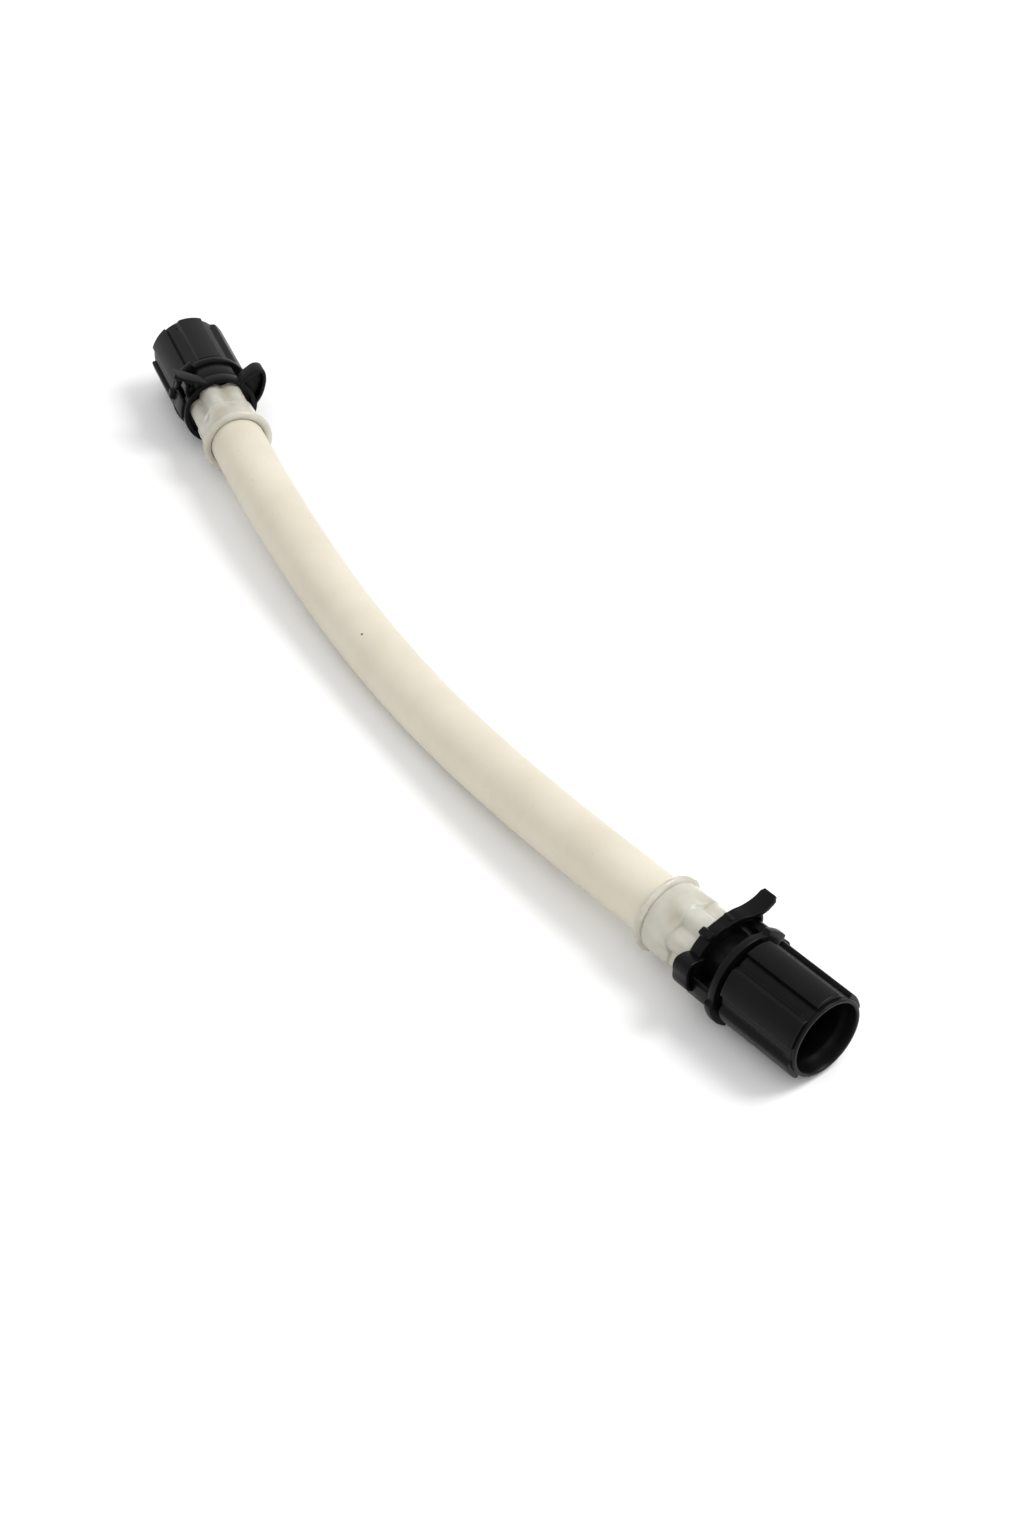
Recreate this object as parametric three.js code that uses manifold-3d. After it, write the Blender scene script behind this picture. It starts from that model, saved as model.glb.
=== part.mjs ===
// Pump squeeze tube: a bowed elastomer hose with the same plastic end fitting on each end.
// Millimetres, +Z up. The tube lies on the floor with its chord along X and bows towards -Y.
// Each fitting is drawn in its own frame: +Z runs from the open mouth towards the tube, +Y is up,
// and angles about that axis are in degrees from +X.

import * as THREE from "three";
import { mergeVertices } from "three/addons/utils/BufferGeometryUtils.js";
import Module from "manifold-3d";

// Driving dimensions: the tube
const TUBE_OUTER_DIAMETER = 16;
const TUBE_BORE_DIAMETER = 9.6;
const TUBE_FREE_LENGTH = 232;
const TUBE_BEND_ANGLE = 19.2;
const TUBE_INSERTION = 7.5;

// Driving dimensions: the fluted grip sleeve that turns on each end
const SOCKET_DIAMETER = 17.9;
const SOCKET_DEPTH = 13;
const SOCKET_STEP_DEPTH = 3.5;
const SOCKET_STEP = 0.4;
const SLEEVE_LENGTH = 23.8;
const SLEEVE_WALL = 1.7;
const RIM_WALL = 1.2;
const RIM_LENGTH = 1;
const GRIP_COUNT = 6;
const GRIP_HEIGHT = 1.1;
const GRIP_SPAN = 43;
const GRIP_START_ANGLE = 14;
const GRIP_FALL = 8;
const GRIP_FALL_SHARE = 0.35;
const GROOVE_WIDTH = 0.7;
const GROOVE_DEPTH = 0.45;
const GROOVE_FROM_RIM = 3.5;
const CHAMBER_STEP = 0.8;
const RETAINER_LENGTH = 2.5;

// Driving dimensions: the flanged tail piece with its hose barb
const TAIL_BORE_DIAMETER = 6;
const JOURNAL_DIAMETER = 12.4;
const COLLAR_LENGTH = 4;
const NOSE_LENGTH = 2.5;
const FLANGE_THICKNESS = 2.2;
const FLANGE_OVERHANG = 0.2;
const LUG_HEIGHT = 1.3;
const LUG_SPAN = 58;
const LUG_ANGLES = [-32, 148];
const NECK_LENGTH = 6;
const NECK_FILLET = 2.6;
const BARB_RIDGES = 3;
const BARB_RIDGE_HEIGHT = 0.5;
const BARB_SETBACK = 1.5;

// Driving dimensions: the clip ring with its wing, finger loop and straps
const RING_WIDTH = 3.4;
const RING_WALL = 1.4;
const RING_GAP = 1.95;
const WING_ROOT_ANGLE = 92;
const WING_TIP_ANGLE = 132;
const WING_REACH = 6.9;
const WING_THICKNESS = 1.3;
const WING_OVERHANG = 1;
const WING_LEAN = 0.25;
const BRACE_FOOT_ANGLE = 143;
const BRACE_HEAD_ANGLE = 127;
const BRACE_THICKNESS = 1.2;
const PRONG_ANGLE = 137;
const PRONG_SPAN = 16;
const PRONG_LENGTH = 4.2;
const PRONG_THICKNESS = 1.5;
const FINGER_ROOT_ANGLE = 36;
const FINGER_FOOT_ANGLE = -8;
const FINGER_FACE = 14.2;
const FINGER_TOP = 8.8;
const FINGER_BOTTOM = 1.4;
const FINGER_THICKNESS = 1.2;
const FINGER_OVERHANG = 1.1;
const STRAP_ANGLES = [-9, 171];
const STRAP_WIDTH = 6;
const STRAP_RISE = 0.7;
const STRAP_HOLE_DIAMETER = 1.4;
const RING_KEY_ANGLE = 63;
const RING_KEY_WIDTH = 2.3;
const RING_KEY_HEIGHT = 1.1;
const RING_KEY_OVERHANG = 0.4;

// Driving dimensions: the clear ferrule
const FERRULE_WALL = 1.05;
const FERRULE_LAP = 2.3;
const FERRULE_NECK_LENGTH = 8.2;
const BARREL_LENGTH = 8.2;
const LIP_LENGTH = 1.95;
const LIP_HEIGHT = 1.1;
const LOBE_COUNT = 6;
const LOBE_DEPTH = 2;
const LOBE_ANGLE = 22;
const LOBE_ROUNDNESS = 0.6;
const FLUTE_RADIUS = 6;
const FLUTE_DEPTH = 0.6;
const FLUTE_LENGTH = 6.5;
const LIP_TAB_ANGLE = 155;
const LIP_TAB_WIDTH = 3;
const LIP_TAB_HEIGHT = 0.6;
const LIP_TAB_LENGTH = 3.6;

// Gaps between separate pieces, and how finely round shapes are drawn
const CLEARANCE = 0.3;
const RUNNING_GAP = 1.4;
const ROUND_SEGMENTS = 36;
const TUBE_SIDES = 32;
const TUBE_STEPS = 20;

// Radii worked out from the sizes above
const tubeRadius = TUBE_OUTER_DIAMETER / 2;
const ferruleBoreRadius = tubeRadius + CLEARANCE;
const barrelRadius = ferruleBoreRadius + FERRULE_WALL;
const lipRadius = barrelRadius + LIP_HEIGHT;
const ringInnerRadius = barrelRadius + CLEARANCE;
const ringOuterRadius = ringInnerRadius + RING_WALL;
const neckRadius = ringInnerRadius - RING_GAP;
const barbRadius = TUBE_BORE_DIAMETER / 2 - CLEARANCE;
const socketRadius = SOCKET_DIAMETER / 2;
const chamberRadius = socketRadius - CHAMBER_STEP;
const collarRadius = chamberRadius - CLEARANCE;
const journalRadius = JOURNAL_DIAMETER / 2;
const sleeveRadius = socketRadius + SLEEVE_WALL;
const gripRadius = sleeveRadius + GRIP_HEIGHT;
const flangeRadius = gripRadius + FLANGE_OVERHANG;
const lugRadius = flangeRadius + LUG_HEIGHT;

// Stations along a fitting, from its mouth
const retainerStart = SLEEVE_LENGTH - RETAINER_LENGTH;
const collarEnd = retainerStart - CLEARANCE;
const collarStart = collarEnd - COLLAR_LENGTH;
const noseStart = collarStart - NOSE_LENGTH;
const flangeStart = SLEEVE_LENGTH + RUNNING_GAP;
const flangeEnd = flangeStart + FLANGE_THICKNESS;
const ringStart = flangeEnd + NECK_LENGTH;
const ringEnd = ringStart + RING_WIDTH;
const ferruleStart = ringEnd - FERRULE_LAP;
const neckEnd = ferruleStart - CLEARANCE;
const shoulder = ringEnd + FERRULE_NECK_LENGTH;
const lipStart = shoulder + BARREL_LENGTH;
const lipEnd = lipStart + LIP_LENGTH;
const tubeSeat = lipEnd - TUBE_INSERTION;
const barbEnd = lipEnd - BARB_SETBACK;

const wasm = await Module();
wasm.setup();

// Solids for joining and cutting
function toSolid(geometry) {
  const bare = geometry.clone();
  bare.deleteAttribute("normal");
  bare.deleteAttribute("uv");
  const merged = mergeVertices(bare, 1e-4);
  return new wasm.Manifold(new wasm.Mesh({
    numProp: 3,
    vertProperties: new Float32Array(merged.attributes.position.array),
    triVerts: new Uint32Array(merged.index.array),
  }));
}

function toGeometry(solid) {
  const mesh = solid.getMesh();
  const geometry = new THREE.BufferGeometry();
  geometry.setAttribute("position", new THREE.BufferAttribute(new Float32Array(mesh.vertProperties), 3));
  geometry.setIndex(new THREE.BufferAttribute(new Uint32Array(mesh.triVerts), 1));
  geometry.computeVertexNormals();
  return geometry;
}

function joined(geometries) {
  return geometries.map(toSolid).reduce((whole, solid) => whole.add(solid));
}

function cut(solid, geometries) {
  return geometries.map(toSolid).reduce((whole, tool) => whole.subtract(tool), solid);
}

// Basic shapes in a fitting's own frame
const radians = THREE.MathUtils.degToRad;

function turned(profile) {
  const points = [...profile, profile[0]].map(([radius, station]) => new THREE.Vector2(radius, station));
  return new THREE.LatheGeometry(points, ROUND_SEGMENTS).rotateX(Math.PI / 2);
}

function extruded(shape, start, end) {
  return new THREE.ExtrudeGeometry(shape, { depth: end - start, bevelEnabled: false, curveSegments: 6 })
    .translate(0, 0, start);
}

function polarShape(radiusAt, count) {
  const shape = new THREE.Shape();
  for (let i = 0; i < count; i += 1) {
    const angle = (360 * i) / count;
    const radius = radiusAt(angle);
    const point = [radius * Math.cos(radians(angle)), radius * Math.sin(radians(angle))];
    if (i === 0) shape.moveTo(...point);
    else shape.lineTo(...point);
  }
  shape.closePath();
  return shape;
}

function sectorShape(inner, outer, angle, span) {
  const from = radians(angle - span / 2);
  const to = radians(angle + span / 2);
  const shape = new THREE.Shape();
  shape.absarc(0, 0, outer, from, to, false);
  shape.absarc(0, 0, inner, to, from, true);
  shape.closePath();
  return shape;
}

function polarPoint(radius, angle) {
  return new THREE.Vector2(radius * Math.cos(radians(angle)), radius * Math.sin(radians(angle)));
}

// The section of a bent strip of even thickness that follows a smooth path in the ring's plane
function stripShape(path, thickness, divisions) {
  const curve = new THREE.SplineCurve(path);
  const sides = [1, -1].map((side) => Array.from({ length: divisions + 1 }, (_, i) => {
    const tangent = curve.getTangent(i / divisions);
    const offset = new THREE.Vector2(-tangent.y, tangent.x).multiplyScalar((side * thickness) / 2);
    return curve.getPoint(i / divisions).add(offset);
  }));
  return new THREE.Shape([...sides[0], ...sides[1].reverse()]);
}

function spanAt(radius, width) {
  return THREE.MathUtils.radToDeg(width / radius);
}

// Grip sleeve: a socket with a thin rim, six raised pads and a narrow groove beside each pad
function gripShape() {
  const period = 360 / GRIP_COUNT;
  const shape = new THREE.Shape();
  const padSteps = 4;
  for (let grip = 0; grip < GRIP_COUNT; grip += 1) {
    const start = GRIP_START_ANGLE + grip * period;
    const corners = [[start, sleeveRadius]];
    for (let i = 0; i <= padSteps; i += 1) {
      corners.push([start + ((GRIP_SPAN - GRIP_FALL) * i) / padSteps, gripRadius]);
    }
    corners.push([start + GRIP_SPAN - GRIP_FALL / 2, gripRadius - GRIP_HEIGHT * GRIP_FALL_SHARE]);
    corners.push([start + GRIP_SPAN, sleeveRadius]);
    corners.push([start + (GRIP_SPAN + period) / 2, sleeveRadius]);
    for (const [angle, radius] of corners) {
      const point = [radius * Math.cos(radians(angle)), radius * Math.sin(radians(angle))];
      if (grip === 0 && angle === start && radius === sleeveRadius) shape.moveTo(...point);
      else shape.lineTo(...point);
    }
  }
  shape.closePath();
  const middle = new THREE.Path();
  middle.absarc(0, 0, (socketRadius + sleeveRadius) / 2, 0, 2 * Math.PI, true);
  shape.holes.push(middle);
  return shape;
}

function gripGrooves() {
  const floor = sleeveRadius - GROOVE_DEPTH;
  const grooveStart = GROOVE_FROM_RIM + GROOVE_WIDTH / 2;
  const height = gripRadius - floor + 1;
  return Array.from({ length: GRIP_COUNT }, (_, grip) => {
    const angle = radians(GRIP_START_ANGLE + GRIP_SPAN + (grip * 360) / GRIP_COUNT);
    const length = SLEEVE_LENGTH + 1 - grooveStart;
    const slot = new THREE.BoxGeometry(height, GROOVE_WIDTH, length)
      .translate(floor + height / 2, 0, grooveStart + length / 2);
    const end = new THREE.CylinderGeometry(GROOVE_WIDTH / 2, GROOVE_WIDTH / 2, height, 8)
      .rotateZ(Math.PI / 2)
      .translate(floor + height / 2, 0, grooveStart);
    return [slot.rotateZ(angle), end.rotateZ(angle)];
  }).flat();
}

function sleeveGeometry() {
  const body = turned([
    [socketRadius, 0],
    [socketRadius + RIM_WALL, 0],
    [socketRadius + RIM_WALL, RIM_LENGTH],
    [sleeveRadius, RIM_LENGTH],
    [sleeveRadius, SLEEVE_LENGTH],
    [journalRadius + CLEARANCE, SLEEVE_LENGTH],
    [journalRadius + CLEARANCE, retainerStart],
    [chamberRadius, retainerStart],
    [chamberRadius, SOCKET_DEPTH],
    [socketRadius - SOCKET_STEP, SOCKET_DEPTH],
    [socketRadius - SOCKET_STEP, SOCKET_STEP_DEPTH],
    [socketRadius, SOCKET_STEP_DEPTH],
  ]);
  const grips = extruded(gripShape(), RIM_LENGTH, SLEEVE_LENGTH);
  return toGeometry(cut(joined([body, grips]), gripGrooves()));
}

// Tail piece: nose and collar inside the sleeve, flange with two lugs, filleted neck, hose barb
function neckFillet() {
  const steps = 4;
  return Array.from({ length: steps + 1 }, (_, i) => {
    const turn = ((i / steps) * Math.PI) / 2;
    return [
      neckRadius + NECK_FILLET * (1 - Math.sin(turn)),
      flangeEnd + NECK_FILLET * (1 - Math.cos(turn)),
    ];
  });
}

function barbProfile() {
  const pitch = (barbEnd - tubeSeat) / BARB_RIDGES;
  const root = barbRadius - BARB_RIDGE_HEIGHT;
  const points = [];
  for (let ridge = 0; ridge < BARB_RIDGES; ridge += 1) {
    const start = tubeSeat + ridge * pitch;
    points.push([root, start], [barbRadius, start + pitch * 0.1]);
  }
  return [...points, [root, barbEnd]];
}

function tailGeometry() {
  const body = turned([
    [TAIL_BORE_DIAMETER / 2, noseStart],
    [journalRadius, noseStart],
    [journalRadius, collarStart],
    [collarRadius, collarStart],
    [collarRadius, collarEnd],
    [journalRadius, collarEnd],
    [journalRadius, flangeStart],
    [flangeRadius, flangeStart],
    [flangeRadius, flangeEnd],
    ...neckFillet(),
    [neckRadius, neckEnd],
    [barbRadius, neckEnd],
    ...barbProfile(),
    [TAIL_BORE_DIAMETER / 2, barbEnd],
  ]);
  const lugs = LUG_ANGLES.map((angle) =>
    extruded(sectorShape(neckRadius, lugRadius, angle, LUG_SPAN), flangeStart, flangeEnd));
  return toGeometry(joined([body, ...lugs]));
}

// Clip ring: a band round the ferrule's nose, a wing, a finger loop and two straps to the flange lugs
function wingPoint(angle) {
  const share = (angle - WING_ROOT_ANGLE) / (WING_TIP_ANGLE - WING_ROOT_ANGLE);
  return polarPoint(ringOuterRadius - WING_THICKNESS / 2 + WING_REACH * share ** 3, angle);
}

// The wing leans towards the mouth as it leaves the ring
function leaned(geometry) {
  const places = geometry.attributes.position;
  for (let i = 0; i < places.count; i += 1) {
    const away = Math.max(0, Math.hypot(places.getX(i), places.getY(i)) - ringOuterRadius);
    places.setZ(i, places.getZ(i) - WING_LEAN * away);
  }
  return geometry;
}

function wing() {
  const divisions = 8;
  const path = Array.from({ length: divisions + 1 }, (_, i) =>
    wingPoint(WING_ROOT_ANGLE + ((WING_TIP_ANGLE - WING_ROOT_ANGLE) * i) / divisions));
  const brace = [
    polarPoint(ringOuterRadius - RING_WALL / 2, BRACE_FOOT_ANGLE),
    polarPoint(ringOuterRadius + PRONG_THICKNESS, (BRACE_FOOT_ANGLE + BRACE_HEAD_ANGLE) / 2),
    wingPoint(BRACE_HEAD_ANGLE),
  ];
  return [
    leaned(extruded(stripShape(path, WING_THICKNESS, divisions), ringStart - WING_OVERHANG, ringEnd)),
    leaned(extruded(stripShape(brace, BRACE_THICKNESS, 4), ringStart - WING_OVERHANG, ringEnd - WING_OVERHANG)),
  ];
}

function prong() {
  const inner = ringOuterRadius - RING_WALL / 4;
  return extruded(
    sectorShape(inner, inner + PRONG_THICKNESS, PRONG_ANGLE, PRONG_SPAN),
    ringStart - PRONG_LENGTH,
    ringStart + RING_WIDTH / 2,
  );
}

function fingerLoop() {
  const face = FINGER_FACE - FINGER_THICKNESS / 2;
  const rootRadius = ringOuterRadius - RING_WALL / 2;
  const path = [
    polarPoint(rootRadius, FINGER_ROOT_ANGLE),
    new THREE.Vector2(face - FINGER_THICKNESS, FINGER_TOP - FINGER_THICKNESS / 2),
    new THREE.Vector2(face, FINGER_TOP - FINGER_THICKNESS * 2),
    new THREE.Vector2(face, FINGER_BOTTOM + FINGER_THICKNESS),
    polarPoint(rootRadius, FINGER_FOOT_ANGLE),
  ];
  return extruded(stripShape(path, FINGER_THICKNESS, 12), ringStart - FINGER_OVERHANG, ringEnd);
}

function strap(angle) {
  const span = spanAt(ringOuterRadius, STRAP_WIDTH);
  return extruded(
    sectorShape(ringInnerRadius + STRAP_RISE, ringOuterRadius + STRAP_RISE, angle, span),
    flangeEnd + CLEARANCE,
    ringStart + RING_WIDTH / 2,
  );
}

function strapHole(angle) {
  const depth = (RING_WALL + STRAP_RISE) * 2;
  return new THREE.CylinderGeometry(STRAP_HOLE_DIAMETER / 2, STRAP_HOLE_DIAMETER / 2, depth, 12)
    .rotateZ(Math.PI / 2)
    .translate(ringOuterRadius, 0, (flangeEnd + ringStart) / 2)
    .rotateZ(radians(angle));
}

function clipGeometry() {
  const band = turned([
    [ringInnerRadius, ringStart],
    [ringOuterRadius, ringStart],
    [ringOuterRadius, ringEnd],
    [ringInnerRadius, ringEnd],
  ]);
  const key = extruded(
    sectorShape(
      ringInnerRadius + RING_WALL / 2,
      ringOuterRadius + RING_KEY_HEIGHT,
      RING_KEY_ANGLE,
      spanAt(ringOuterRadius, RING_KEY_WIDTH),
    ),
    ringStart,
    ringEnd + RING_KEY_OVERHANG,
  );
  const inside = new THREE.CylinderGeometry(ringInnerRadius, ringInnerRadius, lipEnd, ROUND_SEGMENTS)
    .rotateX(Math.PI / 2)
    .translate(0, 0, lipEnd / 2);
  const whole = joined([band, key, ...wing(), prong(), fingerLoop(), ...STRAP_ANGLES.map(strap)]);
  return toGeometry(cut(whole, [inside, ...STRAP_ANGLES.map(strapHole)]));
}

// Ferrule: a lobed nose inside the clip ring, a fluted barrel round the tube and a rounded lip
function lobeRadiusAt(angle) {
  const wave = (1 + Math.cos(radians(LOBE_COUNT * (angle - LOBE_ANGLE)))) / 2;
  return barrelRadius - LOBE_DEPTH * (1 - wave ** LOBE_ROUNDNESS);
}

function lipProfile() {
  const steps = 4;
  const middle = (lipStart + lipEnd) / 2;
  return Array.from({ length: steps + 1 }, (_, i) => {
    const turn = (i / steps - 0.5) * Math.PI;
    return [barrelRadius + LIP_HEIGHT * Math.cos(turn), middle + (LIP_LENGTH / 2) * Math.sin(turn)];
  });
}

function barrelFlutes() {
  const tilt = Math.atan(FLUTE_DEPTH / FLUTE_LENGTH);
  const length = FLUTE_LENGTH * 2;
  return Array.from({ length: LOBE_COUNT }, (_, i) =>
    new THREE.CylinderGeometry(FLUTE_RADIUS, FLUTE_RADIUS, length, 30)
      .rotateX(Math.PI / 2)
      .rotateY(tilt)
      .translate(barrelRadius - FLUTE_DEPTH + FLUTE_RADIUS, 0, shoulder)
      .rotateZ(radians(LOBE_ANGLE + (360 * (i + 0.5)) / LOBE_COUNT)));
}

function ferruleGeometry() {
  const innerRadius = barbRadius + CLEARANCE;
  const core = turned([
    [innerRadius, ferruleStart],
    [neckRadius - CLEARANCE, ferruleStart],
    [neckRadius - CLEARANCE, shoulder],
    [barrelRadius, shoulder],
    [barrelRadius, lipStart],
    ...lipProfile(),
    [ferruleBoreRadius, lipEnd],
    [ferruleBoreRadius, tubeSeat - CLEARANCE],
    [innerRadius, tubeSeat - CLEARANCE],
  ]);
  const nose = polarShape(lobeRadiusAt, LOBE_COUNT * 10);
  const noseHole = new THREE.Path();
  noseHole.absarc(0, 0, (innerRadius + neckRadius) / 2, 0, 2 * Math.PI, true);
  nose.holes.push(noseHole);
  const tab = extruded(
    sectorShape(
      (ferruleBoreRadius + barrelRadius) / 2,
      lipRadius + LIP_TAB_HEIGHT,
      LIP_TAB_ANGLE,
      spanAt(lipRadius, LIP_TAB_WIDTH),
    ),
    lipEnd - LIP_TAB_LENGTH,
    lipEnd - LIP_LENGTH / 4,
  );
  const fluted = cut(toSolid(core), barrelFlutes());
  return toGeometry(fluted.add(toSolid(extruded(nose, ferruleStart, shoulder))).add(toSolid(tab)));
}

// Tube: a level bow in plan that sags to the floor between the two fittings
class TubeCentreline extends THREE.Curve {
  constructor(length, bend, endHeight, middleHeight, insertion) {
    super();
    this.length = length;
    this.bend = bend;
    this.endHeight = endHeight;
    this.sag = endHeight - middleHeight;
    this.insertion = insertion;
  }

  // Place at a distance along the tube from the far ferrule's lip, in and out of the fittings
  placeAt(distance, target = new THREE.Vector3()) {
    const along = THREE.MathUtils.clamp(distance, 0, this.length);
    const radius = this.length / this.bend;
    const turn = along / radius - this.bend / 2;
    const beyond = distance - along;
    return target.set(
      radius * Math.sin(turn) + beyond * Math.cos(turn),
      radius * (1 - Math.cos(turn)) + beyond * Math.sin(turn),
      this.endHeight - this.sag * Math.sin((Math.PI * along) / this.length) ** 2,
    );
  }

  getPoint(t, target) {
    return this.placeAt(t * (this.length + 2 * this.insertion) - this.insertion, target);
  }
}

function tubeGeometry(centreline) {
  const section = new THREE.Shape();
  section.absarc(0, 0, tubeRadius, 0, 2 * Math.PI, false);
  const bore = new THREE.Path();
  bore.absarc(0, 0, TUBE_BORE_DIAMETER / 2, 0, 2 * Math.PI, true);
  section.holes.push(bore);
  return new THREE.ExtrudeGeometry(section, {
    steps: TUBE_STEPS,
    curveSegments: TUBE_SIDES / 2,
    extrudePath: centreline,
  });
}

// Materials
function plastic(color, roughness) {
  return new THREE.MeshStandardMaterial({ color, roughness, metalness: 0 });
}

const blackPlastic = () => plastic(0x2b2b2d, 0.5);
const clearPlastic = () => plastic(0xe9e6dc, 0.3);
const tubeRubber = () => plastic(0xded8ca, 0.6);

function piece(name, geometry, material) {
  const mesh = new THREE.Mesh(geometry, material);
  mesh.name = name;
  return mesh;
}

// One fitting, with its mouth `reach` beyond the end of the tube's free stretch
function endFitting(end, centreline, atStart) {
  const group = new THREE.Group();
  group.add(piece(`${end}_grip_sleeve`, sleeveGeometry(), blackPlastic()));
  group.add(piece(`${end}_tail_piece`, tailGeometry(), blackPlastic()));
  group.add(piece(`${end}_clip_ring`, clipGeometry(), blackPlastic()));
  group.add(piece(`${end}_ferrule`, ferruleGeometry(), clearPlastic()));

  const mouth = centreline.placeAt(atStart ? -lipEnd : centreline.length + lipEnd);
  const lip = centreline.placeAt(atStart ? 0 : centreline.length);
  const inward = lip.clone().sub(mouth).normalize();
  const up = new THREE.Vector3(0, 0, 1);
  const side = new THREE.Vector3().crossVectors(up, inward);
  group.quaternion.setFromRotationMatrix(new THREE.Matrix4().makeBasis(side, up, inward));
  group.position.copy(mouth);
  return group;
}

const centreline = new TubeCentreline(
  TUBE_FREE_LENGTH,
  radians(TUBE_BEND_ANGLE),
  flangeRadius,
  tubeRadius,
  TUBE_INSERTION,
);

const squeezeTube = new THREE.Group();
squeezeTube.add(piece("squeeze_tube", tubeGeometry(centreline), tubeRubber()));
squeezeTube.add(endFitting("far", centreline, true));
squeezeTube.add(endFitting("near", centreline, false));

// The origin is the middle of the part's footprint
squeezeTube.updateMatrixWorld(true);
const box = new THREE.Box3().setFromObject(squeezeTube, true);
const footprint = box.getCenter(new THREE.Vector3());
squeezeTube.position.set(-footprint.x, -footprint.y, -box.min.z);
squeezeTube.updateMatrixWorld(true);

export default squeezeTube;
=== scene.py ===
import math

import bpy
import numpy as np
from mathutils import Matrix, Vector


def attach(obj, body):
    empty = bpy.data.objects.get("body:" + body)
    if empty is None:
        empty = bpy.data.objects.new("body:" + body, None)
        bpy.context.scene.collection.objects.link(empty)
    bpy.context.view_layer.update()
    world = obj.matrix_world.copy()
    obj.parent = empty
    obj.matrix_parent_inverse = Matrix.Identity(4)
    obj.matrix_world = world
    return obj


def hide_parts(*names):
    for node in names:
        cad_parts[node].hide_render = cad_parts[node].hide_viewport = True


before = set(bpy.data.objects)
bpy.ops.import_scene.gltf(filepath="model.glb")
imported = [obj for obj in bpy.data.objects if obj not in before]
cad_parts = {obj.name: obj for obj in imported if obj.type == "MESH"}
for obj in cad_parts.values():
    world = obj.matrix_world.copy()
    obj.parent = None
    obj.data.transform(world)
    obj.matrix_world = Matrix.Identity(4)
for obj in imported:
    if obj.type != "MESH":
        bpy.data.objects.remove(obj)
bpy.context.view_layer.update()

MM = 0.001

# The fittings' places in the frame, in millimetres
AXIS_HEIGHT = 11.95
MOUTH_X = 169.8357
MOUTH_Y = 7.8433
OUTWARD = (0.985996, 0.1667687)

# The tube's route
FREE_LENGTH = 232.0
BEND = math.radians(19.2)
ROUTE_Y = -11.05
SAG = 3.95
INSERTION = 7.5
TUBE_RADIUS = 8.0
BORE_RADIUS = 4.8
SPECK = (-12.94, -14.81, 15.12)
SPECK_CORE = 0.22
SPECK_EDGE = 0.42

# Stations along a fitting from its mouth, and radii, in millimetres
SLEEVE_END = 23.8
RETAINER = 21.3
FLANGE_START = 25.2
FLANGE_END = 27.4
RING_START = 33.4
RING_END = 36.8
SHOULDER = 45.0
TUBE_SEAT = 47.65
SLEEVE_RADIUS = 10.65
GRIP_RADIUS = 11.75
FLANGE_RADIUS = 11.95
RING_INNER = 9.65
RING_OUTER = 11.05
NECK_RADIUS = 7.7
BARREL_RADIUS = 9.35
SOCKET_WALL = 8.55
CHAMBER_RADIUS = 8.15
RIM_LENGTH = 1.0
RIM_RADIUS = 10.55

# How the meshes are drawn
SHARP_ANGLE = math.radians(35)
CORNER_STEPS = 4

# The camera's place in millimetres, its level directions and its pitch
CAMERA_PLACE = (522.46, -280.80, 474.90)
CAMERA_FORWARD = (-0.86382, 0.50380)
CAMERA_RIGHT = (0.50380, 0.86382, 0)
CAMERA_PITCH = math.radians(40.336)
CAMERA_LENS = 66.243


# Camera
def set_camera():
    data = bpy.data.cameras.new("photo_camera")
    data.sensor_fit = "AUTO"
    data.sensor_width = 36
    data.lens = CAMERA_LENS
    data.clip_start = 0.01
    camera = bpy.data.objects.new("photo_camera", data)
    bpy.context.scene.collection.objects.link(camera)
    level = math.cos(CAMERA_PITCH)
    forward = Vector((CAMERA_FORWARD[0] * level, CAMERA_FORWARD[1] * level, -math.sin(CAMERA_PITCH)))
    right = Vector(CAMERA_RIGHT)
    up = right.cross(forward)
    turn = Matrix((right, up, -forward)).transposed().to_4x4()
    camera.matrix_world = Matrix.Translation(Vector(CAMERA_PLACE) * MM) @ turn
    bpy.context.scene.camera = camera


# Mesh helpers: shapes are made in millimetres, and a fitting's in its own frame
def grid_mesh(rows, close_rows, close_columns, caps=False):
    """Faces for a grid of points, rows x columns x 3."""
    rows = np.asarray(rows)
    count, width = rows.shape[:2]
    faces = []
    for i in range(count if close_rows else count - 1):
        for j in range(width if close_columns else width - 1):
            a = i * width + j
            b = i * width + (j + 1) % width
            c = ((i + 1) % count) * width + (j + 1) % width
            d = ((i + 1) % count) * width + j
            faces.append((a, b, c, d))
    if caps:
        faces.append(tuple(reversed(range(width))))
        faces.append(tuple((count - 1) * width + j for j in range(width)))
    return rows.reshape(-1, 3), faces


def merged(parts):
    points = []
    faces = []
    for part_points, part_faces in parts:
        start = sum(len(p) for p in points)
        points.append(np.asarray(part_points))
        faces.extend(tuple(start + i for i in face) for face in part_faces)
    return np.concatenate(points), faces


def make_piece(name, points, faces, place, body, material, slot, nodes):
    """A smooth piece in the frame, that rides on a body and stands for its solids."""
    mesh = bpy.data.meshes.new(name)
    moved = [place @ Vector(p) * MM for p in points]
    mesh.from_pydata(moved, [], faces)
    mesh.validate()
    mesh.update()
    obj = bpy.data.objects.new(name, mesh)
    bpy.context.scene.collection.objects.link(obj)
    mesh.materials.append(material)
    bpy.context.view_layer.objects.active = obj
    obj.select_set(True)
    bpy.ops.object.mode_set(mode="EDIT")
    bpy.ops.mesh.select_all(action="SELECT")
    bpy.ops.mesh.normals_make_consistent(inside=False)
    bpy.ops.object.mode_set(mode="OBJECT")
    obj.select_set(False)
    mesh.shade_smooth()
    mesh.set_sharp_from_angle(angle=SHARP_ANGLE)
    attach(obj, body)
    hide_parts(*nodes)
    return obj


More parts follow.
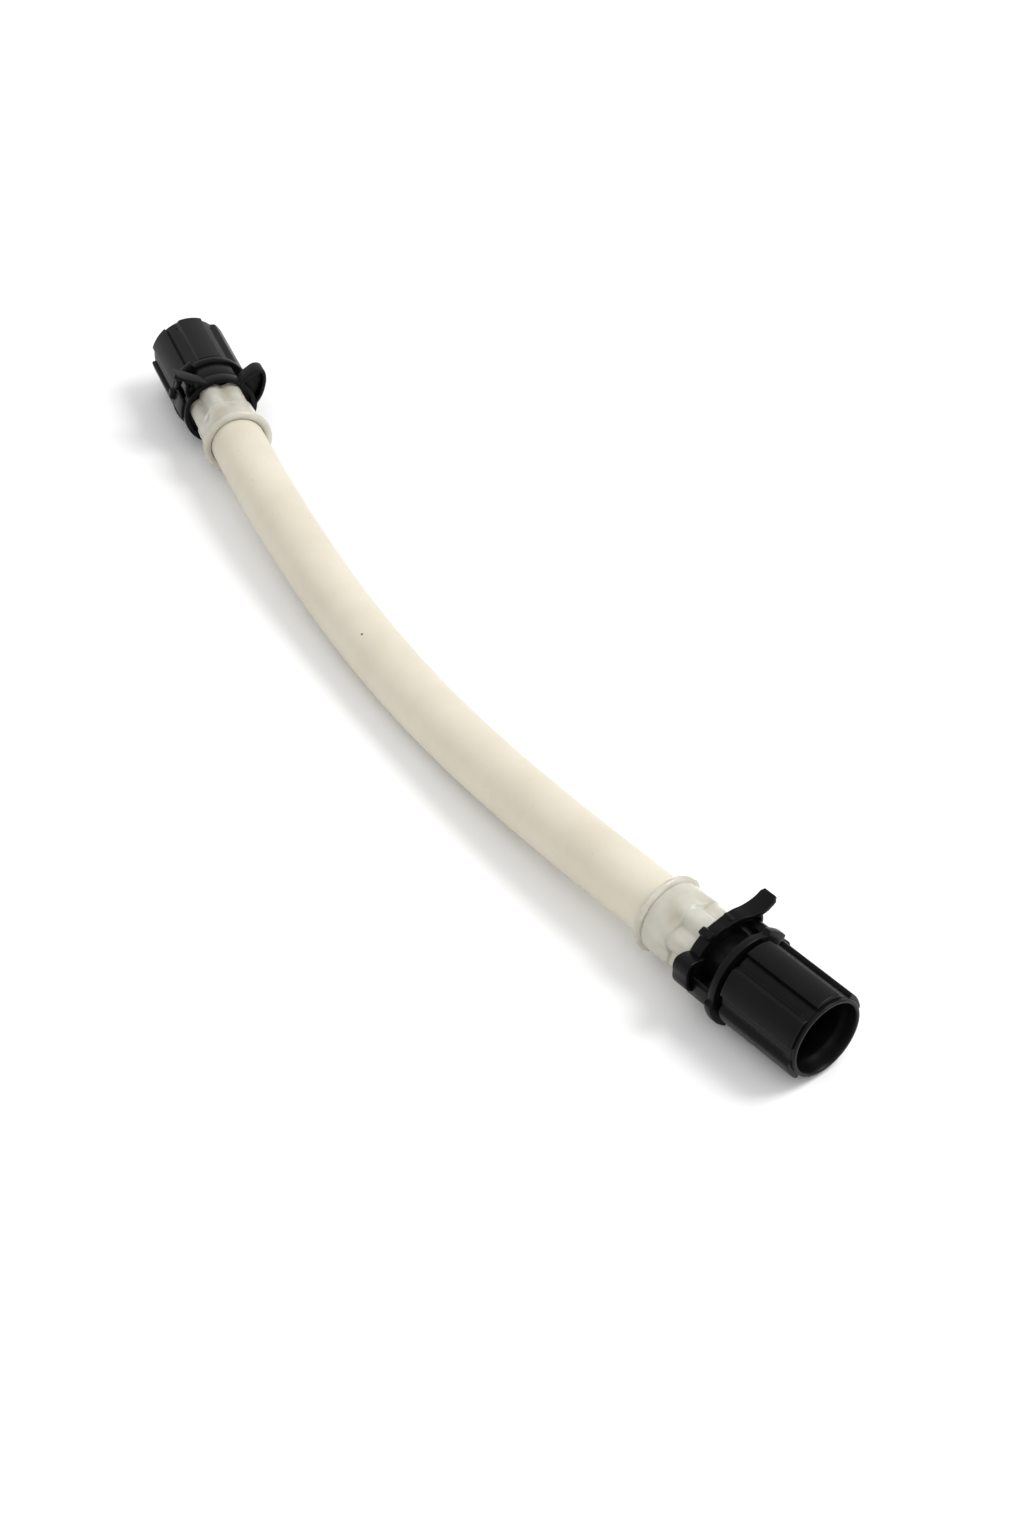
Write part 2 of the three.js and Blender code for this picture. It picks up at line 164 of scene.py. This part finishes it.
def ring_rows(profile_at, angles):
    """One closed loop of (radius, station) points for every angle, joined all the way round."""
    rows = []
    for angle in angles:
        turn = math.radians(angle)
        rows.append([(r * math.cos(turn), r * math.sin(turn), z) for r, z in profile_at(angle)])
    return grid_mesh(rows, True, True)


def smooth(x):
    x = min(max(x, 0.0), 1.0)
    return x * x * (3 - 2 * x)


def corner(distance, radius):
    """How far a rounded edge has fallen at a distance from the edge."""
    if distance >= radius:
        return 0.0
    inside = max(distance, 0.0)
    return radius - math.sqrt(max(radius ** 2 - (radius - inside) ** 2, 0.0))


def round_angles(count, extra=()):
    even = [360 * i / count for i in range(count)]
    return sorted({round(a % 360, 3) for a in [*even, *extra]})


def polar(radius, angle):
    return np.array((radius * math.cos(math.radians(angle)), radius * math.sin(math.radians(angle))))


# Grip sleeve: angles in degrees from the fitting's side
PADS = 6
PAD_PITCH = 60
GRIP_START = 14.0
GRIP_SPAN = 43.0
GRIP_FALL = 9.0
GROOVE_OFFSET = 0.4
GROOVE_END = 3.6
GROOVE_DEPTH = 0.22
GROOVE_REACH = 0.75
PAD_EDGE = 0.4
END_EDGE = 0.35
DIP_DEPTH = 0.12
DIP_REACH = 1.2
STRETCH_START = 20
STRETCH_LENGTH = 3.5


def sleeve_radius(angle, station, roll):
    """The outside of the sleeve: six raised pads, each with a sharp edge and a groove beside it."""
    phase = (angle - roll - GRIP_START) % PAD_PITCH
    floor = SLEEVE_RADIUS
    height = GRIP_RADIUS - SLEEVE_RADIUS
    along = station - RIM_LENGTH
    before = (PAD_PITCH - phase) * math.pi / 180 * GRIP_RADIUS
    into = phase * math.pi / 180 * GRIP_RADIUS
    radius = floor
    if phase <= GRIP_SPAN:
        fall = smooth((GRIP_SPAN - phase) / GRIP_FALL)
        edge = min(into, along)
        radius = floor + height * fall - corner(edge, PAD_EDGE) * fall
    else:
        radius = floor - DIP_DEPTH * smooth(1 - before / DIP_REACH)
    groove = abs(phase - GRIP_SPAN - GROOVE_OFFSET) * math.pi / 180 * SLEEVE_RADIUS
    end = max(0.0, GROOVE_END - station)
    distance = math.hypot(groove, end)
    radius -= GROOVE_DEPTH * (1 - smooth(distance / GROOVE_REACH))
    if station < RIM_LENGTH:
        radius = min(radius, RIM_RADIUS)
    return radius - corner(SLEEVE_END - station, END_EDGE)


def sleeve_mesh(roll, extra_length):
    stations = [0.0, 0.06, 0.18, 0.4, 0.7, 0.97, 1.0, 1.05, 1.15, 1.3, 1.5, 1.9, 2.4, 2.8, 3.0, 3.15,
                3.3, 3.45, 3.6, 3.8, 4.2, 5.0, 6.5, 8.5, 11.0, 13.5, 16.0, 18.5, 20.5, 22.0, 23.0,
                23.45, 23.6, 23.72, SLEEVE_END]
    extra = []
    for k in range(PADS):
        step = roll + GRIP_START + PAD_PITCH * k
        extra += [step + a for a in (-4, -2, -1, -0.3, -0.02, 0.0, 0.35, 0.8, 1.4, 2.0)]
        groove = step + GRIP_SPAN + GROOVE_OFFSET
        extra += [groove + a for a in (-9, -8, -7, -6, -5, -4, -3.4, -2.8, -2.2, -1.7, -1.2, -0.7,
                                       0, 0.7, 1.2, 1.7, 2.2, 2.8, 3.6)]

    def profile(angle):
        outer = []
        for station in stations:
            radius = sleeve_radius(angle, station, roll)
            if station < 0.5:
                radius -= corner(station, END_EDGE)
            outer.append((radius, station))
        outer = [
            (r, z + extra_length * smooth((z - STRETCH_START) / STRETCH_LENGTH))
            for r, z in outer
        ]
        rear = SLEEVE_END + extra_length
        chamber = [(6.6, rear), (6.5, rear - 0.2), (6.5, RETAINER), (CHAMBER_RADIUS, RETAINER),
                   (CHAMBER_RADIUS, 13.2), (8.35, 13.0)]
        socket = [(SOCKET_WALL, 12.8), (SOCKET_WALL, 8.0), (SOCKET_WALL, 4.6), (8.7, 3.9), (8.95, 3.4)]
        flare = [(9.2, 2.0), (9.42, 0.9), (9.52, 0.35), (9.62, 0.12), (9.72, 0.02), (9.82, 0.0)]
        return outer + chamber + socket + flare

    return ring_rows(profile, round_angles(180, extra))


# Tail piece
LUGS = ((-58.0, -2.0), (112.0, 149.0), (158.5, 176.0))
LUG_HEIGHT = 1.15
LUG_SLOPE = 3.0
NECK_FILLET = 2.6
TAIL_BORE = 3.0
TAIL_START = 14.5
TAIL_END = 53.65
BARB_RADIUS = 4.5
BARB_ROOT = 4.0
BARB_PITCH = 2


def flange_radius(angle):
    radius = FLANGE_RADIUS
    for low, high in LUGS:
        middle = (low + high) / 2
        away = abs((angle - middle + 180) % 360 - 180) - (high - low) / 2
        radius = max(radius, FLANGE_RADIUS + LUG_HEIGHT * smooth(-away / LUG_SLOPE))
    return radius


def tail_mesh():
    def profile(angle):
        top = flange_radius(angle)
        points = [(TAIL_BORE, TAIL_START), (6.0, TAIL_START), (6.2, 14.7), (6.2, 17.0),
                  (7.6, 17.0), (7.85, 17.25), (7.85, 20.75), (7.6, 21.0),
                  (6.2, 21.0), (6.2, 25.0), (6.4, FLANGE_START),
                  (top - 0.4, FLANGE_START), (top - 0.12, FLANGE_START + 0.1), (top, FLANGE_START + 0.4),
                  (top, FLANGE_END - 0.6), (top - 0.15, FLANGE_END - 0.2), (top - 0.55, FLANGE_END)]
        for i in range(9):
            turn = i / 8 * math.pi / 2
            points.append((
                NECK_RADIUS + NECK_FILLET * (1 - math.sin(turn)),
                FLANGE_END + NECK_FILLET * (1 - math.cos(turn)),
            ))
        points += [(NECK_RADIUS, 34.0), (7.5, 34.2), (BARB_RADIUS, 34.2), (BARB_ROOT, TUBE_SEAT)]
        for ridge in range(3):
            start = TUBE_SEAT + BARB_PITCH * ridge
            points += [(BARB_RADIUS, start + 0.2), (BARB_ROOT, start + 1.9)]
        return points + [(TAIL_BORE, TAIL_END)]

    lug_ends = [a for low, high in LUGS for a in (low, low + 1, high - 1, high)]
    return ring_rows(profile, round_angles(144, lug_ends))


# Clip ring: the arms are rooted inside the band, and are bent strips
ARM_ROOT = 10.3
CLIP_EDGE = 0.3
WING_THICKNESS = 1.3
ARM_THICKNESS = 1.1
# Inner radius of the black web of painted shade that closes the gap between the band and the neck
GAP_SHADE_WEB_INNER = 7.72
STRAP_ANGLES = (-9, 171)


def strip(path, thickness, start, end, samples=40, edge=CLIP_EDGE):
    """A bent strip with rounded edges. start and end are its two stations at a share of its length."""
    path = np.asarray(path, dtype=float)
    steps = np.concatenate(([0], np.cumsum(np.hypot(*np.diff(path, axis=0).T))))
    share = np.linspace(0, 1, samples)
    knots = steps / steps[-1]
    line = spline(knots, path, share)
    tangent = np.gradient(line, axis=0)
    tangent /= np.hypot(tangent[:, 0], tangent[:, 1])[:, None]
    normal = np.stack((-tangent[:, 1], tangent[:, 0]), axis=1)
    rows = []
    for i, s in enumerate(share):
        half = thickness / 2
        low = start(s)
        high = end(s)
        section = []
        for side_z, side_n in ((1, 1), (1, -1), (-1, -1), (-1, 1)):
            for k in range(CORNER_STEPS):
                turn = k / (CORNER_STEPS - 1) * math.pi / 2
                c, d = math.cos(turn), math.sin(turn)
                if side_z == side_n:
                    c, d = d, c
                z = (high - edge + edge * c) if side_z > 0 else (low + edge - edge * c)
                n = side_n * (half - edge + edge * d)
                section.append((n, z))
        rows.append([
            (line[i, 0] + n * normal[i, 0], line[i, 1] + n * normal[i, 1], z)
            for n, z in section
        ])
    return grid_mesh(rows, False, True, caps=True)


def spline(knots, points, at):
    """A smooth curve through points."""
    result = []
    slopes = np.gradient(points, knots, axis=0)
    for s in at:
        i = min(max(int(np.searchsorted(knots, s, side="right")) - 1, 0), len(knots) - 2)
        h = knots[i + 1] - knots[i]
        t = (s - knots[i]) / h
        a = (2 * t ** 3 - 3 * t ** 2 + 1) * points[i] + (t ** 3 - 2 * t ** 2 + t) * h * slopes[i]
        b = (-2 * t ** 3 + 3 * t ** 2) * points[i + 1] + (t ** 3 - t ** 2) * h * slopes[i + 1]
        result.append(a + b)
    return np.array(result)


def arc_block(inner, outer, angle, span, start, end, edge=CLIP_EDGE, steps=14):
    """A block of a ring's sector with rounded edges."""
    rows = []
    for i in range(steps + 1):
        at = angle - span / 2 + span * i / steps
        share = min(i, steps - i) / steps * span * math.pi / 180 * outer
        pull = corner(share, 0.6)
        top = outer - pull * 0.6
        low = start + pull
        high = end - pull
        loop = [(inner, low), (top - edge, low), (top - edge * 0.3, low + edge * 0.3),
                (top, low + edge), (top, high - edge), (top - edge * 0.3, high - edge * 0.3),
                (top - edge, high), (inner, high)]
        turn = math.radians(at)
        rows.append([(r * math.cos(turn), r * math.sin(turn), z) for r, z in loop])
    return grid_mesh(rows, False, True, caps=True)


def web_panel(path, start, end):
    """A flat panel inside a loop on the ring, between two stations."""
    path = [np.asarray(p, dtype=float) for p in path]
    middle = sum(path) / len(path)
    middle = middle / np.hypot(*middle) * ARM_ROOT
    outline = [*path, middle]
    points = [(p[0], p[1], z) for z in (start, end) for p in outline]
    count = len(outline)
    faces = [tuple(range(count)), tuple(reversed(range(count, 2 * count)))]
    faces += [(i, (i + 1) % count, count + (i + 1) % count, count + i) for i in range(count)]
    return points, faces


def clip_mesh(end):
    edge = CLIP_EDGE
    band_profile = [(RING_INNER, RING_START + edge), (RING_INNER + 0.1, RING_START),
                    (RING_OUTER - edge, RING_START), (RING_OUTER - 0.08, RING_START + 0.09),
                    (RING_OUTER, RING_START + edge), (RING_OUTER, RING_END - edge),
                    (RING_OUTER - 0.08, RING_END - 0.09), (RING_OUTER - edge, RING_END),
                    (RING_INNER + 0.1, RING_END), (RING_INNER, RING_END - edge)]
    band = ring_rows(lambda angle: band_profile, round_angles(120))

    # Painted shade: a black web closes the band's front down to the neck. It is a dark sheet that stands in
    # for the shade in that gap, and it hides the ferrule's nose.
    gap_shade_web_profile = [(GAP_SHADE_WEB_INNER, RING_START + 0.25), (8.05, RING_START + 0.1),
                   (RING_INNER + 0.2, RING_START + 0.2), (RING_INNER + 0.2, RING_START + 0.9),
                   (GAP_SHADE_WEB_INNER, RING_START + 0.8)]
    gap_shade_web = ring_rows(lambda angle: gap_shade_web_profile, round_angles(120))

    if end == "near":
        wing_path = [polar(10.4, 86), (-1.8, 11.05), (-3.4, 11.4), (-6.2, 11.45), (-8.9, 12.0),
                     (-11.2, 12.95), (-12.9, 14.1)]
    else:
        wing_path = [polar(ARM_ROOT, 110), polar(11.6, 115), (-6.8, 11.2), (-8.6, 11.8),
                     (-10.8, 12.7), (-12.7, 13.8)]
    wing = strip(
        wing_path, WING_THICKNESS,
        lambda s: RING_START - 0.2 - 2.6 * smooth(s * 1.3) + 0.7 * smooth((s - 0.92) / 0.08),
        lambda s: RING_END - 1.3 * smooth(s * 1.1) - 0.6 * smooth((s - 0.92) / 0.08),
    )
    brace_path = [polar(10.6, 147), polar(12.4, 139.5), (-9.2, 10.2), (-9.7, 12.0)]
    brace = strip(
        brace_path, ARM_THICKNESS,
        lambda s: RING_START - 1.4 - 0.3 * s,
        lambda s: RING_END - 1.2,
        samples=24,
    )
    prong = arc_block(ARM_ROOT, 12.2, 137, 16, 29.3, RING_START + 1.5)

    if end == "near":
        finger_path = [polar(ARM_ROOT, 33), (11.6, 6.5), (13.1, 6.3), (13.7, 5.1),
                       (13.72, 3.0), (13.6, 0.8), (12.6, -0.9), polar(11.0, -10)]
    else:
        finger_path = [polar(ARM_ROOT, 50), (9.9, 10.2), (11.9, 11.1), (13.6, 10.6),
                       (14.0, 8.6), (13.5, 5.6), (12.3, 2.6), polar(10.8, 3)]
    panel = web_panel(finger_path, RING_START + 0.6, RING_START + 1.6)
    finger = strip(
        finger_path, ARM_THICKNESS,
        lambda s: RING_START - 1.1 - 0.25 * math.sin(math.pi * s),
        lambda s: RING_END + 0.1,
        samples=60,
    )
    straps = [
        arc_block(10.5, 11.85, angle, 31, FLANGE_END - 0.4, RING_START + 1.7, edge=0.45)
        for angle in STRAP_ANGLES
    ]
    if end == "near":
        knuckle = arc_block(10.4, 12.1, 100, 11, RING_START + 0.2, RING_END - 0.1, edge=0.4, steps=10)
        key = arc_block(10.4, 12.15, 63, 11.5, RING_START, RING_END + 0.4, edge=0.35, steps=10)
        top = [knuckle, key]
    else:
        saddle = arc_block(8.0, 11.1, 88, 66, FLANGE_END - 0.3, RING_START + 0.5, edge=0.7, steps=28)
        top = [saddle]
    return merged([band, gap_shade_web, wing, brace, prong, finger, panel, *straps, *top])


# Ferrule
FERRULE_START = 34.5
FERRULE_STEP = 47.35
FERRULE_END = 55.15
FERRULE_BORE = 8.3
NOSE_BORE = 4.8
NOSE_DROP = 0.3
LOBES = 6
LOBE_ANGLE = 22.0
LOBE_DEPTH = 1.8
FLUTE_RISE = 0.1
FLUTE_DEPTH = 1.1
FLUTE_LENGTH = 6.5
LIP_MIDDLE = 54.15
LIP_FOOT = 9.3
LIP_HEIGHT = 1.15
TAB_ANGLE = 155
TAB_HEIGHT = 0.3
TAB_RADIUS = 10.4


def ferrule_outside(angle, station, roll):
    wave = (1 + math.cos(math.radians(LOBES * (angle - LOBE_ANGLE - roll)))) / 2
    nose = BARREL_RADIUS - NOSE_DROP - LOBE_DEPTH * (1 - wave ** 0.6)
    fade = 1 - smooth((station - SHOULDER) / FLUTE_LENGTH)
    flute = BARREL_RADIUS + FLUTE_RISE - FLUTE_DEPTH * (1 - wave) ** 1.4 * fade
    blend = smooth((station - SHOULDER + 0.35 + 0.5 * (1 - wave)) / 0.7)
    return nose * (1 - blend) + flute * blend


def ferrule_mesh(roll):
    outer_stations = [FERRULE_START, 35.5, 37.0, 39.0, 41.0, 43.0, 44.0, 44.3, 44.5, 44.7, 44.9, 45.1, 45.3,
                      45.6, 46.2, 47.0, 48.0, 49.2, 50.4, 51.4, 52.2, 52.6, 52.8]

    def profile(angle):
        points = [(NOSE_BORE, FERRULE_START)]
        points += [(ferrule_outside(angle, z, roll), z) for z in outer_stations]
        tab = abs((angle - TAB_ANGLE + 180) % 360 - 180) * math.pi / 180 * TAB_RADIUS
        proud = TAB_HEIGHT * (1 - smooth((tab - 0.7) / 1.2))
        points += [(BARREL_RADIUS - 0.28, 52.95), (BARREL_RADIUS - 0.3, 53.1)]
        for i in range(11):
            turn = (i / 10 - 0.5) * math.pi
            points.append((LIP_FOOT + (LIP_HEIGHT + proud) * math.cos(turn), LIP_MIDDLE + math.sin(turn)))
        points += [(8.75, FERRULE_END), (8.35, 54.95), (FERRULE_BORE, 54.6)]
        points += [(FERRULE_BORE, FERRULE_STEP), (NOSE_BORE, FERRULE_STEP)]
        return points

    return ring_rows(profile, round_angles(144))


# Tube
def route(distance):
    along = min(max(distance, 0.0), FREE_LENGTH)
    radius = FREE_LENGTH / BEND
    turn = along / radius - BEND / 2
    beyond = distance - along
    return np.array((
        radius * math.sin(turn) + beyond * math.cos(turn),
        ROUTE_Y + radius * (1 - math.cos(turn)) + beyond * math.sin(turn),
        AXIS_HEIGHT - SAG * math.sin(math.pi * along / FREE_LENGTH) ** 2,
    ))


def tube_mesh(sides=72, steps=150):
    total = FREE_LENGTH + 2 * INSERTION
    places = [route(total * i / steps - INSERTION) for i in range(steps + 1)]
    tangents = np.gradient(np.array(places), axis=0)
    outside = []
    inside = []
    for place, tangent in zip(places, tangents):
        tangent = tangent / np.linalg.norm(tangent)
        side = np.cross((0, 0, 1), tangent)
        side /= np.linalg.norm(side)
        up = np.cross(tangent, side)
        for rows, radius in ((outside, TUBE_RADIUS), (inside, BORE_RADIUS)):
            rows.append([
                place + radius * (math.cos(a) * side + math.sin(a) * up)
                for a in (2 * math.pi * j / sides for j in range(sides))
            ])
    loop = outside + inside[::-1]
    return grid_mesh(loop, True, True), places


# Materials
def new_material(name):
    material = bpy.data.materials.new(name)
    material.use_nodes = True
    nodes = material.node_tree.nodes
    return material, nodes, material.node_tree.links, nodes["Principled BSDF"]


def noise(nodes, links, scale, detail, roughness=0.5):
    place = nodes.new("ShaderNodeTexCoord")
    texture = nodes.new("ShaderNodeTexNoise")
    texture.inputs["Scale"].default_value = scale
    texture.inputs["Detail"].default_value = detail
    texture.inputs["Roughness"].default_value = roughness
    links.new(place.outputs["Object"], texture.inputs["Vector"])
    return texture


def ramp(nodes, links, source, stops):
    node = nodes.new("ShaderNodeValToRGB")
    elements = node.color_ramp.elements
    while len(elements) < len(stops):
        elements.new(0.5)
    for element, (position, color) in zip(elements, stops):
        element.position = position
        element.color = (*color, 1)
    links.new(source, node.inputs["Fac"])
    return node


def bump(nodes, links, shader, height, strength, distance):
    node = nodes.new("ShaderNodeBump")
    node.inputs["Strength"].default_value = strength
    node.inputs["Distance"].default_value = distance
    links.new(height, node.inputs["Height"])
    links.new(node.outputs["Normal"], shader.inputs["Normal"])


def set_gloss(nodes, links, shader, source, low, high):
    """A roughness between two values, that follows a texture."""
    gloss = nodes.new("ShaderNodeMapRange")
    gloss.inputs["To Min"].default_value = low
    gloss.inputs["To Max"].default_value = high
    links.new(source, gloss.inputs["Value"])
    links.new(gloss.outputs["Result"], shader.inputs["Roughness"])


def rubber_material():
    material, nodes, links, shader = new_material("cream_rubber")
    cloud = noise(nodes, links, scale=60, detail=4, roughness=0.55)
    tone = ramp(nodes, links, cloud.outputs["Fac"], [
        (0.3, (0.575, 0.53, 0.425)),
        (0.5, (0.605, 0.56, 0.455)),
        (0.72, (0.635, 0.59, 0.487)),
    ])
    speck = noise(nodes, links, scale=900, detail=2)
    fleck = ramp(nodes, links, speck.outputs["Fac"], [
        (0.22, (0.62, 0.54, 0.42)),
        (0.27, (1.0, 1.0, 1.0)),
    ])
    mix = nodes.new("ShaderNodeMix")
    mix.data_type = "RGBA"
    mix.blend_type = "MULTIPLY"
    mix.inputs["Factor"].default_value = 0.6
    links.new(tone.outputs["Color"], mix.inputs["A"])
    links.new(fleck.outputs["Color"], mix.inputs["B"])

    # The one dark speck on the tube
    place = nodes.new("ShaderNodeTexCoord")
    away = nodes.new("ShaderNodeVectorMath")
    away.operation = "DISTANCE"
    away.inputs[1].default_value = [c * MM for c in SPECK]
    links.new(place.outputs["Object"], away.inputs[0])
    inside = nodes.new("ShaderNodeMapRange")
    inside.inputs["From Min"].default_value = SPECK_CORE * MM
    inside.inputs["From Max"].default_value = SPECK_EDGE * MM
    inside.inputs["To Min"].default_value = 1.0
    inside.inputs["To Max"].default_value = 0.0
    links.new(away.outputs["Value"], inside.inputs["Value"])
    spot = nodes.new("ShaderNodeMix")
    spot.data_type = "RGBA"
    spot.inputs["B"].default_value = (0.02, 0.02, 0.018, 1)
    links.new(inside.outputs["Result"], spot.inputs["Factor"])
    links.new(mix.outputs["Result"], spot.inputs["A"])
    links.new(spot.outputs["Result"], shader.inputs["Base Color"])
    set_gloss(nodes, links, shader, cloud.outputs["Fac"], low=0.48, high=0.66)
    shader.inputs["Subsurface Weight"].default_value = 0.12
    shader.inputs["Subsurface Radius"].default_value = (0.004, 0.0025, 0.0015)
    shader.inputs["Subsurface Scale"].default_value = 1.0
    fine = noise(nodes, links, scale=420, detail=6, roughness=0.6)
    bump(nodes, links, shader, fine.outputs["Fac"], strength=0.18, distance=0.0002)
    return material


def black_material():
    material, nodes, links, shader = new_material("black_plastic")
    cloud = noise(nodes, links, scale=140, detail=5, roughness=0.6)
    tone = ramp(nodes, links, cloud.outputs["Fac"], [
        (0.3, (0.0016, 0.0016, 0.0017)),
        (0.55, (0.0024, 0.0024, 0.0025)),
        (0.8, (0.0042, 0.0042, 0.0043)),
    ])
    links.new(tone.outputs["Color"], shader.inputs["Base Color"])
    set_gloss(nodes, links, shader, cloud.outputs["Fac"], low=0.27, high=0.43)
    shader.inputs["Specular IOR Level"].default_value = 0.13
    fine = noise(nodes, links, scale=1600, detail=5, roughness=0.65)
    bump(nodes, links, shader, fine.outputs["Fac"], strength=0.2, distance=0.0001)
    return material


def clear_material():
    material, nodes, links, shader = new_material("clear_plastic")
    cloud = noise(nodes, links, scale=110, detail=4)
    tone = ramp(nodes, links, cloud.outputs["Fac"], [
        (0.3, (0.66, 0.62, 0.51)),
        (0.7, (0.86, 0.84, 0.77)),
    ])
    links.new(tone.outputs["Color"], shader.inputs["Base Color"])
    set_gloss(nodes, links, shader, cloud.outputs["Fac"], low=0.12, high=0.26)
    shader.inputs["Transmission Weight"].default_value = 0.45
    shader.inputs["IOR"].default_value = 1.45
    fine = noise(nodes, links, scale=500, detail=4)
    bump(nodes, links, shader, fine.outputs["Fac"], strength=0.12, distance=0.0002)
    return material


# Stage and light, in metres and watts
FLOOR_SIZE = 6
FLOOR_DROP = 0.00002
FLOOR_TONE = 0.9
SKY_STRENGTH = 0.85


def set_stage():
    bpy.ops.mesh.primitive_plane_add(size=FLOOR_SIZE, location=(0, 0, -FLOOR_DROP))
    floor = bpy.context.active_object
    floor.name = "floor"
    material, nodes, links, shader = new_material("floor")
    shader.inputs["Base Color"].default_value = (FLOOR_TONE, FLOOR_TONE, FLOOR_TONE, 1)
    shader.inputs["Roughness"].default_value = 0.9
    floor.data.materials.append(material)

    world = bpy.data.worlds.new("studio")
    world.use_nodes = True
    bpy.context.scene.world = world
    sky = world.node_tree.nodes["Background"]
    sky.inputs["Color"].default_value = (1, 1, 1, 1)
    sky.inputs["Strength"].default_value = SKY_STRENGTH

    def area(name, place, size, power):
        data = bpy.data.lights.new(name, "AREA")
        data.size = size
        data.energy = power
        light = bpy.data.objects.new(name, data)
        bpy.context.scene.collection.objects.link(light)
        light.location = place
        light.rotation_euler = (-Vector(place)).to_track_quat("-Z", "Y").to_euler()

    area("key", place=(0.35, 0.75, 1.05), size=0.6, power=11)
    area("front", place=(0.9, -0.5, 1.2), size=0.8, power=2.5)
    bpy.context.scene.view_settings.view_transform = "Standard"


# The part
def fitting_place(end):
    sign = 1 if end == "near" else -1
    inward = Vector((-sign * OUTWARD[0], -OUTWARD[1], 0))
    up = Vector((0, 0, 1))
    side = up.cross(inward)
    turn = Matrix((side, up, inward)).transposed().to_4x4()
    return Matrix.Translation((sign * MOUTH_X, MOUTH_Y, AXIS_HEIGHT)) @ turn


set_camera()
rubber = rubber_material()
black = black_material()
clear = clear_material()

(tube_points, tube_faces), tube_places = tube_mesh()
tube = make_piece("tube_skin", tube_points, tube_faces, Matrix.Identity(4), "hose", rubber, "tube_rubber",
                  ["squeeze_tube"])

# Each end's sleeve roll in degrees, how much further its sleeve reaches, and its ferrule's roll
for end, roll, extra_length, lobe_roll in (("near", 0.0, 0.2, 0.0), ("far", -8.0, 1.0, 30.0)):
    place = fitting_place(end)
    make_piece(f"{end}_sleeve_shell", *sleeve_mesh(roll, extra_length), place, f"{end}_sleeve",
               black, "black_plastic", [f"{end}_grip_sleeve"])
    make_piece(f"{end}_tail_body", *tail_mesh(), place, "hose",
               black, "black_plastic", [f"{end}_tail_piece"])
    make_piece(f"{end}_clip_body", *clip_mesh(end), place, "hose",
               black, "black_plastic", [f"{end}_clip_ring"])
    make_piece(f"{end}_ferrule_body", *ferrule_mesh(lobe_roll), place, "hose",
               clear, "clear_plastic", [f"{end}_ferrule"])

set_stage()
